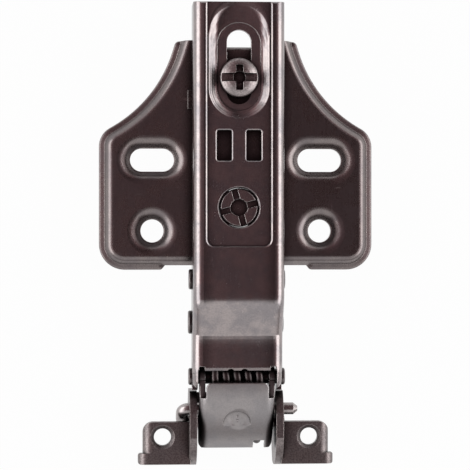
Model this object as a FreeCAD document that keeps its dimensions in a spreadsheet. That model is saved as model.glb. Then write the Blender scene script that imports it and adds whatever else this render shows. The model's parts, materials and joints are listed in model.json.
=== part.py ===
import FreeCAD, Part
import math
import os
import Sketcher

os.makedirs("parts", exist_ok=True)

doc = FreeCAD.newDocument("CabinetHinge")

# Driving dimensions, in millimetres unless the name ends in _deg
DIMENSIONS = [
    # Mounting plate, one pressed sheet
    ("plate_sheet", 1.2),
    ("plate_half_wide", 26.1),
    ("plate_back", 36.2),
    ("plate_front", -7.4),
    ("plate_back_half", 11.5),
    ("plate_top", 2.8),
    ("rim_flat", 1.05),
    ("rim_round", 1.5),
    ("rim_wall_deg", 60),
    ("row_spacing", 32.0),
    ("slot_row_y", 13.5),
    ("front_hole_dia", 4.4),
    ("plate_slot_long", 8.4),
    ("plate_slot_wide", 4.4),
    ("dimple_top_rad", 4.75),
    ("dimple_round", 2.6),
    ("dimple_wall_deg", 50),
    ("bridge_gap", 0.75),
    ("bridge_top", 9.6),
    ("bridge_back", 34.2),
    ("bridge_front", -4.9),
    ("bridge_draft", 0.35),
    ("key_slot_wide", 3.6),
    # Hinge arm, one pressed channel
    ("arm_wide", 17.0),
    ("arm_sheet", 1.05),
    ("arm_top", 12.0),
    ("arm_back", 42.5),
    ("arm_slope_y", -13.3),
    ("arm_crease_y", -19.6),
    ("arm_crease_z", 8.0),
    ("arm_lip_y", -26.25),
    ("arm_lip_z", 7.4),
    ("arm_nose_rad", 2.5),
    ("arm_bend_rad", 1.9),
    ("arm_wall_low", 1.0),
    ("arm_wall_high", 3.2),
    ("panel_half", 5.95),
    ("panel_sink", 0.6),
    ("panel_front_y", -2.9),
    ("edge_bevel", 0.26),
    ("edge_bevel_deep", 0.16),
    ("dish_depth", 0.45),
    ("dish_step", 0.12),
    ("arm_slot_wide", 4.5),
    ("arm_slot_back", 37.3),
    ("arm_slot_front", 23.5),
    ("window_wide", 2.8),
    ("window_long", 5.7),
    ("window_off", 2.75),
    ("window_y", 15.85),
    # Screws
    ("fix_y", 28.4),
    ("fix_head_dia", 7.2),
    ("fix_shank_dia", 4.1),
    ("adjust_y", 4.32),
    ("adjust_dia", 7.2),
    ("adjust_neck_dia", 3.4),
    ("adjust_flange_dia", 5.6),
    ("screw_gap", 0.05),
    # Pivots, positions in the side view
    ("front_pin_y", -27.6),
    ("front_pin_z", 3.0),
    ("link_pin_y", -17.3),
    ("link_pin_z", 2.8),
    ("rear_pin_y", -9.1),
    ("rear_pin_z", 6.0),
    ("leg_one_y", -34.0),
    ("leg_one_z", 0.35),
    ("leg_two_y", -36.8),
    ("leg_two_z", -3.2),
    ("pin_dia", 2.8),
    ("leg_dia", 2.3),
    ("pivot_gap", 0.05),
    # Outer link, one pressed channel
    ("link_side_gap", 0.35),
    ("link_sheet", 1.1),
    ("link_crown_rad", 18.82),
    ("link_crown_y", -25.8),
    ("link_crown_z", -11.2),
    ("link_rear_y", -28.6),
    ("link_front_y", -41.6),
    ("link_bend_rad", 1.8),
    ("link_eye_rad", 2.5),
    ("link_foot_rad", 2.15),
    ("spoon_rad", 2.6),
    ("spoon_tilt_deg", 19),
    # Inner link, one pressed channel
    ("inner_half", 3.2),
    ("inner_sheet", 1.1),
    ("inner_eye_rad", 2.05),
    ("inner_slot_rad", 1.85),
    ("inner_rear_rad", 2.8),
    ("inner_slot_dy", -1.95),
    ("inner_slot_dz", 0.33),
    # Torsion spring
    ("wire_dia", 1.7),
    ("coil_rad", 2.45),
    ("coil_side_gap", 0.95),
    ("coil_turns", 4),
    # Door bracket, one casting
    ("bracket_gap", 0.4),
    ("bracket_wall", 1.4),
    ("bracket_reach", 8.25),
    ("bracket_back_y", -30.45),
    ("bracket_top_z", 4.7),
    ("bracket_bottom_z", -7.4),
    ("bracket_floor", 1.3),
    ("bracket_floor_front", -34.4),
    ("ear_reach", 18.7),
    ("ear_top_z", 1.5),
    ("ear_thick", 2.0),
    ("ear_back_y", -36.4),
    ("ear_front_y", -44.5),
    ("ear_hole_x", 14.0),
    ("ear_hole_y", -39.3),
    ("ear_hole_dia", 3.3),
    ("ear_ring_dia", 4.6),
]

sheet = doc.addObject("Spreadsheet::Sheet", "Sizes")
for row, (alias, value) in enumerate(DIMENSIONS, start=1):
    sheet.set(f"A{row}", alias.replace("_", " "))
    sheet.set(f"B{row}", str(value))
    sheet.setAlias(f"B{row}", alias)
doc.recompute()


def size(alias):
    """Return the value of one spreadsheet cell in millimetres."""
    return float(sheet.get(alias))


def bind(item, **expressions):
    """Bind properties of an object to spreadsheet expressions.

    Double underscores in a keyword stand for dots in the property path.
    """
    for path, expression in expressions.items():
        item.setExpression(path.replace("__", "."), expression)


def vec(x, y, z):
    """Return a FreeCAD vector."""
    return FreeCAD.Vector(x, y, z)


def rounded_edges(points, radii):
    """Return the edges of a closed flat polygon with rounded corners.

    Each corner is replaced by an arc that touches its two sides.
    """
    count = len(points)
    cuts = []
    for index, point in enumerate(points):
        before = points[index - 1]
        after = points[(index + 1) % count]
        radius = radii[index]
        to_before = (before - point).normalize()
        to_after = (after - point).normalize()
        if radius <= 0:
            cuts.append((point, None, point))
            continue
        half = to_before.getAngle(to_after) / 2
        run = radius / math.tan(half)
        start = point + to_before * run
        end = point + to_after * run
        bisector = (to_before + to_after).normalize()
        middle = point + bisector * (radius / math.sin(half) - radius)
        cuts.append((start, middle, end))
    edges = []
    for index, (start, middle, end) in enumerate(cuts):
        if middle is not None:
            edges.append(Part.Arc(start, middle, end).toShape())
        following = cuts[(index + 1) % count][0]
        if (following - end).Length > 1e-6:
            edges.append(Part.makeLine(end, following))
    return edges


def plan_wire(corners, height):
    """Return a closed wire parallel to the ground from (x, y, radius) corners."""
    points = [vec(x, y, height) for x, y, radius in corners]
    return Part.Wire(rounded_edges(points, [radius for x, y, radius in corners]))


def side_face(corners, left):
    """Return a face in the side view from (y, z, radius) corners, at x = left."""
    points = [vec(left, y, z) for y, z, radius in corners]
    wire = Part.Wire(rounded_edges(points, [radius for y, z, radius in corners]))
    return Part.Face(wire)


def side_prism(corners, left, right):
    """Return a solid with a side view outline between two x positions."""
    return side_face(corners, left).extrude(vec(right - left, 0, 0))


def plan_prism(corners, low, high):
    """Return an upright solid with a plan view outline between two heights."""
    return Part.Face(plan_wire(corners, low)).extrude(vec(0, 0, high - low))


def plan_loft(low_corners, low, high_corners, high):
    """Return a drafted solid between two plan view outlines."""
    return Part.makeLoft([plan_wire(low_corners, low), plan_wire(high_corners, high)], True, True)


def upright(radius, low, high, x, y):
    """Return an upright cylinder."""
    return Part.makeCylinder(radius, high - low, vec(x, y, low), vec(0, 0, 1))


def across(radius, left, right, y, z):
    """Return a cylinder that lies along the x axis."""
    return Part.makeCylinder(radius, right - left, vec(left, y, z), vec(1, 0, 0))


def stadium(radius, back, front, low, high):
    """Return an upright slot shaped solid that runs along the y axis."""
    body = upright(radius, low, high, 0, back).fuse(upright(radius, low, high, 0, front))
    bar = Part.makeBox(2 * radius, back - front, high - low, vec(-radius, front, low))
    return body.fuse(bar)


def slot_across(radius, x, y, length, low, high):
    """Return an upright slot shaped solid that runs along the x axis."""
    half = length / 2 - radius
    body = upright(radius, low, high, x - half, y).fuse(upright(radius, low, high, x + half, y))
    bar = Part.makeBox(2 * half, 2 * radius, high - low, vec(x - half, y - radius, low))
    return body.fuse(bar)


def hull_of_quads(first, second):
    """Return the solid between two four point outlines, its sides split into triangles."""
    triangles = []
    for quad in (first, second):
        triangles += [(quad[0], quad[1], quad[2]), (quad[0], quad[2], quad[3])]
    for index in range(4):
        following = (index + 1) % 4
        triangles.append((first[index], first[following], second[following]))
        triangles.append((first[index], second[following], second[index]))
    faces = [Part.Face(Part.makePolygon(list(three) + [three[0]])) for three in triangles]
    solid = Part.Solid(Part.Shell(faces))
    if solid.Volume < 0:
        solid.reverse()
    return solid


def fillet_where(shape, radius, wanted):
    """Return the shape with every edge rounded for which wanted(edge) is true."""
    edges = [edge for edge in shape.Edges if wanted(edge)]
    return shape.makeFillet(radius, edges)


def add_feature(label, shape):
    """Add a sub-part whose shape is made from the sheet's sizes."""
    item = doc.addObject("Part::Feature", label)
    item.Label = label
    item.Shape = shape.removeSplitter()
    item.Placement = FreeCAD.Placement()
    return item


def add_body(label):
    """Add a PartDesign body."""
    item = doc.addObject("PartDesign::Body", label)
    item.Label = label
    return item


def origin_plane(body, role):
    """Return one of a body's origin planes."""
    return next(plane for plane in body.Origin.OriginFeatures if plane.Role == role)


def add_sketch(body, name, role, lift=None):
    """Add a sketch on an origin plane of a body, lifted by an expression."""
    sketch = body.newObject("Sketcher::SketchObject", name)
    sketch.AttachmentSupport = [(origin_plane(body, role), "")]
    sketch.MapMode = "FlatFace"
    if lift is not None:
        sketch.setExpression("AttachmentOffset.Base.z", lift)
    return sketch


def half_turn_profile(body, name, stations):
    """Sketch half of a turned section about the sketch's vertical axis.

    Each station is a radius and a height, both expressions of the sheet.
    """
    sketch = add_sketch(body, name, "XZ_Plane")
    count = len(stations)
    for index in range(count):
        start = vec(1 + index, index, 0)
        end = vec(1 + index + 1, index + 1, 0)
        sketch.addGeometry(Part.LineSegment(start, end), False)
    for index in range(count):
        following = (index + 1) % count
        sketch.addConstraint(Sketcher.Constraint("Coincident", index, 2, following, 1))
    for index, (radius, height) in enumerate(stations):
        if radius == "0":
            sketch.addConstraint(Sketcher.Constraint("PointOnObject", index, 1, -2))
        else:
            number = sketch.addConstraint(Sketcher.Constraint("DistanceX", -1, 1, index, 1, 1.0))
            sketch.setExpression(f"Constraints[{number}]", radius)
        number = sketch.addConstraint(Sketcher.Constraint("DistanceY", -1, 1, index, 1, 1.0))
        sketch.setExpression(f"Constraints[{number}]", height)
    return sketch


def turned(body, name, stations):
    """Add a full revolution of a half section to a body."""
    sketch = half_turn_profile(body, name + "Section", stations)
    turn = body.newObject("PartDesign::Revolution", name)
    turn.Profile = sketch
    turn.ReferenceAxis = (sketch, ["V_Axis"])
    turn.Angle = 360.0
    return turn


# Mounting plate: flange, raised field, sunk dimples round the holes, bridge under the arm

def inset_plan(corners, inset):
    """Return clockwise (x, y, radius) corners, moved inward by a distance."""
    moved = []
    for index, (x, y, radius) in enumerate(corners):
        before = corners[index - 1]
        after = corners[(index + 1) % len(corners)]
        come = vec(x - before[0], y - before[1], 0).normalize()
        leave = vec(after[0] - x, after[1] - y, 0).normalize()
        inward = vec(come.y + leave.y, -come.x - leave.x, 0) * (inset / (1 + come.dot(leave)))
        hollow_corner = come.cross(leave).z > 0
        radius = radius + inset if hollow_corner else max(radius - inset, 0.4)
        moved.append((x + inward.x, y + inward.y, radius))
    return moved


def wing_corners(beyond):
    """Return the plate's right side in plan, its back edge moved outward by a distance."""
    wide = size("plate_half_wide")
    back = size("plate_back")
    neck = size("plate_back_half")
    return [
        (neck - 0.32 * beyond, back + beyond, 1.0), (neck + 3.5, back - 11.3, 25.2), (wide, back - 17.8, 4.0),
        (wide, size("plate_front"), 4.9),
    ]


def mirrored_plan(right, inset):
    """Return a closed outline from its right side, moved inward by a distance."""
    return inset_plan(right + [(-x, y, radius) for x, y, radius in reversed(right)], inset)


sheet_thick = size("plate_sheet")
plate_top = size("plate_top")
rim = size("rim_flat")
plate_front = size("plate_front")
outline = wing_corners(0) + [(14.2, plate_front, 0.8), (13.4, plate_front + 1.0, 0.8)]
flange_levels = [(0, 0), (0, 0.66), (0.05, 0.82), (0.17, 0.94), (0.4, 1.02), (rim, sheet_thick)]
plate = Part.makeLoft([plan_wire(mirrored_plan(outline, inset), z) for inset, z in flange_levels], True, True)
round_rad = size("rim_round")
wall_turn = math.radians(size("rim_wall_deg"))
round_drop = round_rad * (1 - math.cos(wall_turn))
wall_run = (plate_top - sheet_thick - round_drop) / math.tan(wall_turn)
crown_inset = rim + wall_run + round_rad * math.sin(wall_turn)
crown_levels = [(rim - 0.2, sheet_thick - 0.3), (rim, sheet_thick)]
for share in (1, 0.8, 0.6, 0.4, 0.2, 0):
    turn = wall_turn * share
    crown_levels.append((
        crown_inset - round_rad * math.sin(turn), plate_top - round_rad * (1 - math.cos(turn)),
    ))
field_side = wing_corners(3.6)
field_rings = [plan_wire(mirrored_plan(field_side, inset), z) for inset, z in crown_levels]
field = Part.makeLoft(field_rings, True, True)
field = field.common(plan_prism(mirrored_plan(wing_corners(0), 0), 0, plate_top + 1))
field_hollow = plan_loft(
    mirrored_plan(wing_corners(0), rim + 0.8), 0,
    mirrored_plan(wing_corners(0), crown_inset + 0.2), plate_top - sheet_thick,
)
plate = plate.fuse(field).cut(field_hollow)

top_rad = size("dimple_top_rad")
dimple_round = size("dimple_round")
wall_deg = size("dimple_wall_deg")
half_row = size("row_spacing") / 2
slot_y = size("slot_row_y")
slot_extra = size("plate_slot_long") - size("plate_slot_wide")
drop = plate_top - sheet_thick


def dimple_section(grow):
    """Return half of a dimple's section at x >= 0, its floor at z = 0 and its rim rounded over."""
    def rim_point(degrees):
        turn = math.radians(degrees)
        return vec(
            top_rad + 0.07 * dimple_round + grow - dimple_round * math.sin(turn), 0,
            drop - dimple_round * (1 - math.cos(turn)),
        )
    low = rim_point(wall_deg)
    high = rim_point(8)
    foot_x = low.x - low.z / math.tan(math.radians(wall_deg))
    above = vec(high.x + 0.1 / math.tan(math.radians(8)), 0, high.z + 0.1)
    return Part.Wire([
        Part.makeLine(vec(0, 0, 0), vec(foot_x, 0, 0)),
        Part.makeLine(vec(foot_x, 0, 0), low),
        Part.Arc(low, rim_point((wall_deg + 8) / 2), high).toShape(),
        Part.makeLine(high, above),
        Part.makeLine(above, vec(0, 0, above.z)),
        Part.makeLine(vec(0, 0, above.z), vec(0, 0, 0)),
    ])


def dimple(x, y, grow, low, extra):
    """Return a sunk dimple's volume, stretched along x by an extra length."""
    half = Part.Face(dimple_section(grow))
    bowl = half.revolve(vec(0, 0, 0), vec(0, 0, 1), 360)
    if extra == 0:
        bowl.translate(vec(x, y, low))
        return bowl
    left = bowl.translated(vec(x - extra / 2, y, low))
    right = bowl.translated(vec(x + extra / 2, y, low))
    near = half.rotated(vec(0, 0, 0), vec(0, 0, 1), 90).extrude(vec(extra, 0, 0))
    far = half.rotated(vec(0, 0, 0), vec(0, 0, 1), -90).extrude(vec(extra, 0, 0))
    bars = near.fuse(far).translated(vec(x - extra / 2, y, low))
    return left.fuse([right, bars]).removeSplitter()


for side in (-1, 1):
    for y, extra in ((0, 0), (slot_y, slot_extra)):
        under = dimple(side * half_row, y, 1.1, 0, extra)
        keep = Part.makeBox(30, 30, drop, vec(side * half_row - 15, y - 15, 0))
        plate = plate.fuse(under.common(keep))
    for y, extra in ((0, 0), (slot_y, slot_extra)):
        plate = plate.cut(dimple(side * half_row, y, 0, sheet_thick, extra))

arm_inner_half = size("arm_wide") / 2 - size("arm_sheet")
bridge_half = arm_inner_half - size("bridge_gap")
bridge_top = size("bridge_top")
bridge_back = size("bridge_back")
bridge_front = size("bridge_front")
draft = size("bridge_draft")


def bridge_corners(inset, radius):
    """Return the bridge's plan outline, moved inward by a distance."""
    half = bridge_half - inset
    front = bridge_front + inset
    back = bridge_back - inset
    return [(half, back, radius), (half, front, radius), (-half, front, radius), (-half, back, radius)]


bridge = plan_loft(bridge_corners(-draft, 2.2), plate_top - 0.6, bridge_corners(0, 2.2), bridge_top)
bridge = fillet_where(
    bridge, 1.0, lambda edge: edge.BoundBox.ZMin > bridge_top - 0.01,
)
bridge_hollow = plan_loft(
    bridge_corners(sheet_thick - 0.6, 1.4), 0,
    bridge_corners(sheet_thick, 1.2), bridge_top - sheet_thick,
)
plate = plate.fuse(bridge).cut(bridge_hollow)

# Threaded collar for the fixing screw, key slot for the adjusting screw, screw holes
fix_y = size("fix_y")
adjust_y = size("adjust_y")
collar = upright(3.2, bridge_top - sheet_thick - 1.6, bridge_top - 0.2, 0, fix_y)
plate = plate.fuse(collar)
plate = plate.cut(upright(size("fix_shank_dia") / 2 + size("screw_gap"), 0, 20, 0, fix_y))
key_half = size("key_slot_wide") / 2
plate = plate.cut(stadium(key_half, adjust_y + 5.7, adjust_y - 3.0, 5, 20))
plate = plate.cut(upright(size("adjust_flange_dia") / 2 + 0.3, 5, 20, 0, adjust_y + 5.7))
for side in (-1, 1):
    plate = plate.cut(upright(size("front_hole_dia") / 2, -1, 5, side * half_row, 0))
    plate = plate.cut(slot_across(
        size("plate_slot_wide") / 2, side * half_row, slot_y, size("plate_slot_long"), -1, 5,
    ))
plate = plate.cut(Part.makeBox(10.4, 5, 5, vec(-5.2, bridge_back + 0.7, -1)))
plate = plate.fuse(Part.makeBox(1.3, 3.5, 0.6, vec(-9.25, 23.2, plate_top - 0.3)))
add_feature("mounting_plate", plate)


# Hinge arm: channel with a sloped front, two side walls and a sunk panel

arm_half = size("arm_wide") / 2
arm_sheet = size("arm_sheet")
arm_top = size("arm_top")
arm_back = size("arm_back")
slope_y = size("arm_slope_y")
crease_y = size("arm_crease_y")
crease_z = size("arm_crease_z")
lip_y = size("arm_lip_y")
lip_z = size("arm_lip_z")
nose = size("arm_nose_rad")
front_y = size("front_pin_y")
front_z = size("front_pin_z")
low_wall = size("arm_wall_low")
high_wall = size("arm_wall_high")

arm_back_edge = [(arm_back, high_wall, 0.8), (arm_back, arm_top, 0.6)]
arm_long_edge = [(arm_back + 4, high_wall, 0.8), (arm_back + 4, arm_top, 2.5)]
arm_rest = [
    (slope_y, arm_top, 5.5),
    (crease_y, crease_z, 0.5),
    (crease_y - 1.6, crease_z - 0.34, 12.0),
    (lip_y, lip_z, 2.5),
    (front_y - nose, front_z + nose + 0.6, 2.4),
    (front_y - nose, front_z - nose, nose - 0.01),
    (-25.0, front_z - nose, 2.0),
    (-23.6, low_wall, 2.0),
    (-10.5, low_wall, 2.0),
    (-6.6, high_wall, 2.0),
]


def outer_bend(edge):
    """Tell whether an edge belongs to the bends along the arm's top."""
    box = edge.BoundBox
    on_side = abs(abs(box.XMin) - arm_half) < 0.01 and abs(abs(box.XMax) - arm_half) < 0.01
    return on_side and box.XMin * box.XMax > 0 and box.ZMin > 6.9


# Only the top edges are bent: below them the walls are flat up to their cut edges
bends = fillet_where(
    side_prism(arm_long_edge + arm_rest, -arm_half, arm_half), size("arm_bend_rad"), outer_bend,
)
nose_flat = Part.makeBox(2 * arm_half, 100, 14, vec(-arm_half, -50, -10))
rear_flat = Part.makeBox(2 * arm_half, 60, arm_top + 8, vec(-arm_half, -5, -10))
arm = side_prism(arm_back_edge + arm_rest, -arm_half, arm_half).common(bends.fuse([nose_flat, rear_flat]))
thin = arm_sheet
arm_hollow = [
    (arm_back + 3, -2, 0),
    (arm_back + 3, arm_top - thin, 0),
    (slope_y - 0.25, arm_top - thin, 4.5),
    (crease_y - 0.6, crease_z - thin - 0.1, 3.0),
    (lip_y, lip_z - thin, 0),
    (lip_y, lip_z - 0.35, 0),
    (lip_y + 0.5, lip_z, 0),
    (lip_y + 0.5, 20, 0),
    (front_y - 8, 20, 0),
    (front_y - 8, -2, 0),
]
arm = arm.cut(side_prism(arm_hollow, -arm_half + thin, arm_half - thin))

# The sunk panel keeps the sheet's thickness, so a slab hangs below it
panel_half = size("panel_half")
panel_top = arm_top - size("panel_sink")
panel_front = size("panel_front_y")
slab = Part.makeBox(
    2 * panel_half + 1.2, arm_back - panel_front + 0.6, thin,
    vec(-panel_half - 0.6, panel_front - 0.6, panel_top - thin),
)
arm = arm.fuse(slab)
bevel = size("edge_bevel")
bevel_deep = size("edge_bevel_deep")


def panel_corners(grow):
    """Return the panel's outline, moved outward by a margin."""
    half = panel_half + grow
    front = panel_front - grow
    return [
        (half, arm_back + 2, 0), (half, front, 1.4 + grow),
        (-half, front, 1.4 + grow), (-half, arm_back + 2, 0),
    ]


def bevelled_cut(corners_of, low, surface):
    """Return a cutter for an upright opening whose upper edge is bevelled at a surface's height."""
    opening = plan_prism(corners_of(0), low, surface + 2)
    edge = plan_loft(corners_of(0), surface - bevel_deep, corners_of(2 * bevel), surface + bevel_deep)
    return opening.fuse(edge)


arm = arm.cut(bevelled_cut(panel_corners, panel_top, arm_top))

# Dished field round the long slot: a hollow slope, a fine step and a flat floor
dish = size("dish_depth")
step = size("dish_step")
slot_back = size("arm_slot_back")
slot_front = size("arm_slot_front")
slot_rad = size("arm_slot_wide") / 2
dish_front = 26.4
dish_levels = [
    (5.8, 42.9, -0.1), (5.65, 42.0, 0), (5.3, 40.6, 0.45),
    (4.9, 39.2, 0.75), (4.5, 37.5, 0.93), (4.1, 35.4, 1),
]


def dish_wire(half, back, share):
    """Return one level line of the dish, sunk below the panel by a share of its depth."""
    front = dish_front - half
    corners = [
        (half, back, half - 0.05), (half, front, half - 0.01),
        (-half, front, half - 0.01), (-half, back, half - 0.05),
    ]
    return plan_wire(corners, panel_top - dish * share)


dish_cut = Part.makeLoft([dish_wire(*level) for level in dish_levels], True, True)
arm = arm.fuse(stadium(6.0, 34.5, dish_front, panel_top - thin - dish - step, panel_top - thin + 0.1))
arm = arm.cut(dish_cut)
# The fine step is deepest at its front and runs out at its back
fine_cut = stadium(4.05, 34.6, dish_front, panel_top - dish - step, arm_top)
run_out = math.degrees(math.atan2(step, 38.65 - dish_front + 4.05))
fine_cut.rotate(vec(0, dish_front - 4.05, panel_top - dish - step), vec(1, 0, 0), run_out)
arm = arm.cut(fine_cut)
arm = arm.cut(stadium(slot_rad, slot_back - slot_rad, slot_front + slot_rad, 5, 20))

# Windows and the threaded, countersunk collar of the adjusting screw
window_off = size("window_off")
window_y = size("window_y")


def window_corners(grow):
    """Return the right window's outline, moved outward by a margin."""
    half_wide = size("window_wide") / 2 + grow * 0.8
    half_long = size("window_long") / 2 + grow * 0.8
    return [
        (window_off + half_wide, window_y + half_long, 0.4 + grow),
        (window_off + half_wide, window_y - half_long, 0.4 + grow),
        (window_off - half_wide, window_y - half_long, 0.4 + grow),
        (window_off - half_wide, window_y + half_long, 0.4 + grow),
    ]


right_window = bevelled_cut(window_corners, 5, panel_top)
arm = arm.cut([right_window, right_window.mirror(vec(0, 0, 0), vec(1, 0, 0))])
adjust_rad = size("adjust_dia") / 2
arm = arm.fuse(upright(adjust_rad + 1.1, bridge_top + 0.1, panel_top - 0.1, 0, adjust_y))
arm = arm.cut(Part.makeCone(adjust_rad, adjust_rad + 0.35, 0.35, vec(0, adjust_y, panel_top - 0.35)))
arm = arm.cut(upright(adjust_rad + size("screw_gap"), 5, 20, 0, adjust_y))

# The walls lean in beside the lip, which has corner notches and two scallops
for side in (-1, 1):
    lean = [
        vec(side * (arm_half - 0.1), crease_y + 0.1, crease_z + 0.15),
        vec(side * (arm_half - 0.95), lip_y - 0.6, lip_z + 0.1),
        vec(side * (arm_half + 0.1), lip_y - 0.6, lip_z - 2.6),
        vec(side * (arm_half + 0.1), crease_y + 0.1, crease_z - 0.35),
    ]
    outside = [vec(side * (arm_half + 2), point.y, point.z + 1) for point in lean]
    arm = arm.cut(hull_of_quads(lean, outside))
    arm = arm.cut(Part.makeBox(1.1, 0.9, 3, vec(side * 6.75 - 0.55, lip_y - 0.1, lip_z - 2)))
    arm = arm.cut(upright(0.7, lip_z - 2, lip_z + 1, side * 1.3, lip_y - 0.35))

pin_rad = size("pin_dia") / 2
PINS = {
    "front": (front_y, front_z),
    "link": (size("link_pin_y"), size("link_pin_z")),
    "rear": (size("rear_pin_y"), size("rear_pin_z")),
}
for y, z in PINS.values():
    arm = arm.cut(across(pin_rad, -20, 20, y, z))
add_feature("hinge_arm", arm)


# Riveted cross pins, each turned about its own axis and laid across the arm

def add_pin(label, left_head, right_head, left_out, right_out, place):
    """Add a cross pin with two flared heads."""
    body = add_body(label)
    half = "Sizes.arm_wide / 2"
    turned(body, label + "Turned", [
        ("0", f"-({half} + {left_out})"),
        (f"{left_head} - 0.2", f"-({half} + {left_out})"),
        (f"{left_head}", f"-({half} + {left_out} * 0.7)"),
        (f"{left_head}", f"-{half}"),
        ("Sizes.pin_dia / 2", f"-{half}"),
        ("Sizes.pin_dia / 2", f"{half}"),
        (f"{right_head}", f"{half}"),
        (f"{right_head}", f"{half} + {right_out} * 0.7"),
        (f"{right_head} - 0.2", f"{half} + {right_out}"),
        ("0", f"{half} + {right_out}"),
    ])
    body.Placement = FreeCAD.Placement(
        vec(0, 0, 0), FreeCAD.Rotation(vec(0, 1, 0), 90),
    )
    bind(body, Placement__Base__y=f"Sizes.{place}_y", Placement__Base__z=f"Sizes.{place}_z")
    return body


add_pin("front_axis_pin", 1.6, 1.6, 0.65, 0.65, "front_pin")
add_pin("link_axis_pin", 2.2, 2.0, 0.7, 0.35, "link_pin")
add_pin("rear_cross_pin", 1.9, 1.9, 0.7, 0.4, "rear_pin")


# Outer link: channel whose crown is an arc, with an eye at each end

outer_half = arm_inner_half - size("link_side_gap")
link_sheet = size("link_sheet")
crown = vec(0, size("link_crown_y"), size("link_crown_z"))
crown_rad = size("link_crown_rad")
link_rear = size("link_rear_y")
link_front = size("link_front_y")
leg_one = (size("leg_one_y"), size("leg_one_z"))
leg_two = (size("leg_two_y"), size("leg_two_z"))


def crown_point(y, rad):
    """Return the point of the crown's arc at a y position."""
    rise = math.sqrt(rad ** 2 - (y - crown.y) ** 2)
    return vec(0, y, crown.z + rise)


def swept_side(points_after, rear, front, rad):
    """Return a side face bounded above by the crown's arc, at x = 0."""
    start = crown_point(rear, rad)
    middle = crown_point((rear + front) / 2, rad)
    end = crown_point(front, rad)
    edges = [Part.Arc(start, middle, end).toShape()]
    points = [end] + [vec(0, y, z) for y, z in points_after] + [start]
    for before, after in zip(points[:-1], points[1:]):
        edges.append(Part.makeLine(before, after))
    return Part.Face(Part.Wire(edges))


eye = size("link_eye_rad")
foot = size("link_foot_rad")
link_under = [
    (link_front - 0.05, -1.9),
    (-39.2, -3.5),
    (leg_two[0] - 0.9, leg_two[1] - 0.6),
    (leg_two[0] + 0.6, leg_two[1] + 1.5),
    (-35.75, 0.0),
    (-35.55, 1.35),
    (-34.6, 2.15),
    (-33.0, 2.3),
    (-31.0, 1.8),
    (-29.6, 1.3),
    (front_y, front_z),
    (-28.2, front_z + 2.2),
]
profile = swept_side(link_under, link_rear, link_front, crown_rad)
link = profile.extrude(vec(2 * outer_half, 0, 0))
link.translate(vec(-outer_half, 0, 0))
for y, z, rad in ((front_y, front_z, eye), (leg_two[0], leg_two[1], foot)):
    link = link.fuse(across(rad, -outer_half, outer_half, y, z))
link = link.removeSplitter()


def crown_edge(edge):
    """Tell whether an edge is one of the two long edges of the crown."""
    box = edge.BoundBox
    on_side = abs(abs(box.XMin) - outer_half) < 0.01 and abs(abs(box.XMax) - outer_half) < 0.01
    long_arc = edge.Length > 10 and box.ZMax > 6
    return on_side and box.XMin * box.XMax > 0 and long_arc


link = fillet_where(link, size("link_bend_rad"), crown_edge)
inner_rad = crown_rad - link_sheet
inner_start = crown_point(link_rear + 3, inner_rad)
inner_middle = crown_point(-35.5, inner_rad)
inner_end = crown_point(-42.9, inner_rad)
hollow_edges = [
    Part.Arc(inner_start, inner_middle, inner_end).toShape(),
    Part.makeLine(inner_end, vec(0, -46, -8)),
    Part.makeLine(vec(0, -46, -8), vec(0, -20, -8)),
    Part.makeLine(vec(0, -20, -8), vec(0, -20, inner_start.z)),
    Part.makeLine(vec(0, -20, inner_start.z), inner_start),
]
hollow = Part.Face(Part.Wire(hollow_edges)).extrude(vec(2 * (outer_half - link_sheet), 0, 0))
hollow.translate(vec(-outer_half + link_sheet, 0, 0))
link = link.cut(hollow)

# Narrow rear tongue with rounded corners between the two eyes
tongue = outer_half - link_sheet - 0.12
tongue_rad = 1.1
for side in (-1, 1):
    link = link.cut(Part.makeBox(
        2, 5, 6, vec(side * (tongue + 1) - 1, link_rear - 2.9, front_z + eye + 0.05),
    ))
    corner_left = min(side * tongue, side * (tongue - tongue_rad))
    corner = Part.makeBox(tongue_rad, tongue_rad + 2, 6, vec(corner_left, link_rear - tongue_rad, 4.5))
    corner = corner.cut(upright(tongue_rad, 4, 12, side * (tongue - tongue_rad), link_rear - tongue_rad))
    link = link.cut(corner)

# Half moon pocket pressed in the crown, deepest at its rear edge
spoon_rad = size("spoon_rad")
spoon_tilt = math.radians(size("spoon_tilt_deg"))
spoon_axis = vec(0, -math.sin(spoon_tilt), math.cos(spoon_tilt))
spoon_run = vec(0, math.cos(spoon_tilt), math.sin(spoon_tilt))
spoon_at = crown_point(-36.9, crown_rad) + spoon_run * 0.85
spoon = Part.makeCylinder(spoon_rad, 4, spoon_at, spoon_axis)
boss = Part.makeCylinder(spoon_rad + 0.4, 4, spoon_at - spoon_axis * 0.8, spoon_axis)
shell = Part.Face(Part.Wire([
    Part.Arc(crown_point(-30, inner_rad + 0.2), crown_point(-36, inner_rad + 0.2),
             crown_point(-41, inner_rad + 0.2)).toShape(),
    Part.makeLine(crown_point(-41, inner_rad + 0.2), crown_point(-41, inner_rad - 1.5)),
    Part.Arc(crown_point(-41, inner_rad - 1.5), crown_point(-36, inner_rad - 1.5),
             crown_point(-30, inner_rad - 1.5)).toShape(),
    Part.makeLine(crown_point(-30, inner_rad - 1.5), crown_point(-30, inner_rad + 0.2)),
])).extrude(vec(8, 0, 0))
shell.translate(vec(-4, 0, 0))
link = link.fuse(boss.common(shell)).cut(spoon)
link = link.cut(Part.makeBox(2.2, 3, 12, vec(3.35, link_front - 1.4, -8)))
gap = size("pivot_gap")
link = link.cut(across(pin_rad + gap, -20, 20, front_y, front_z))
leg_rad = size("leg_dia") / 2
link = link.cut(across(leg_rad + gap, -20, 20, leg_two[0], leg_two[1]))
add_feature("outer_link", link)


# Inner link: channel that sags below the spring, slotted at the arm's pin

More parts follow.
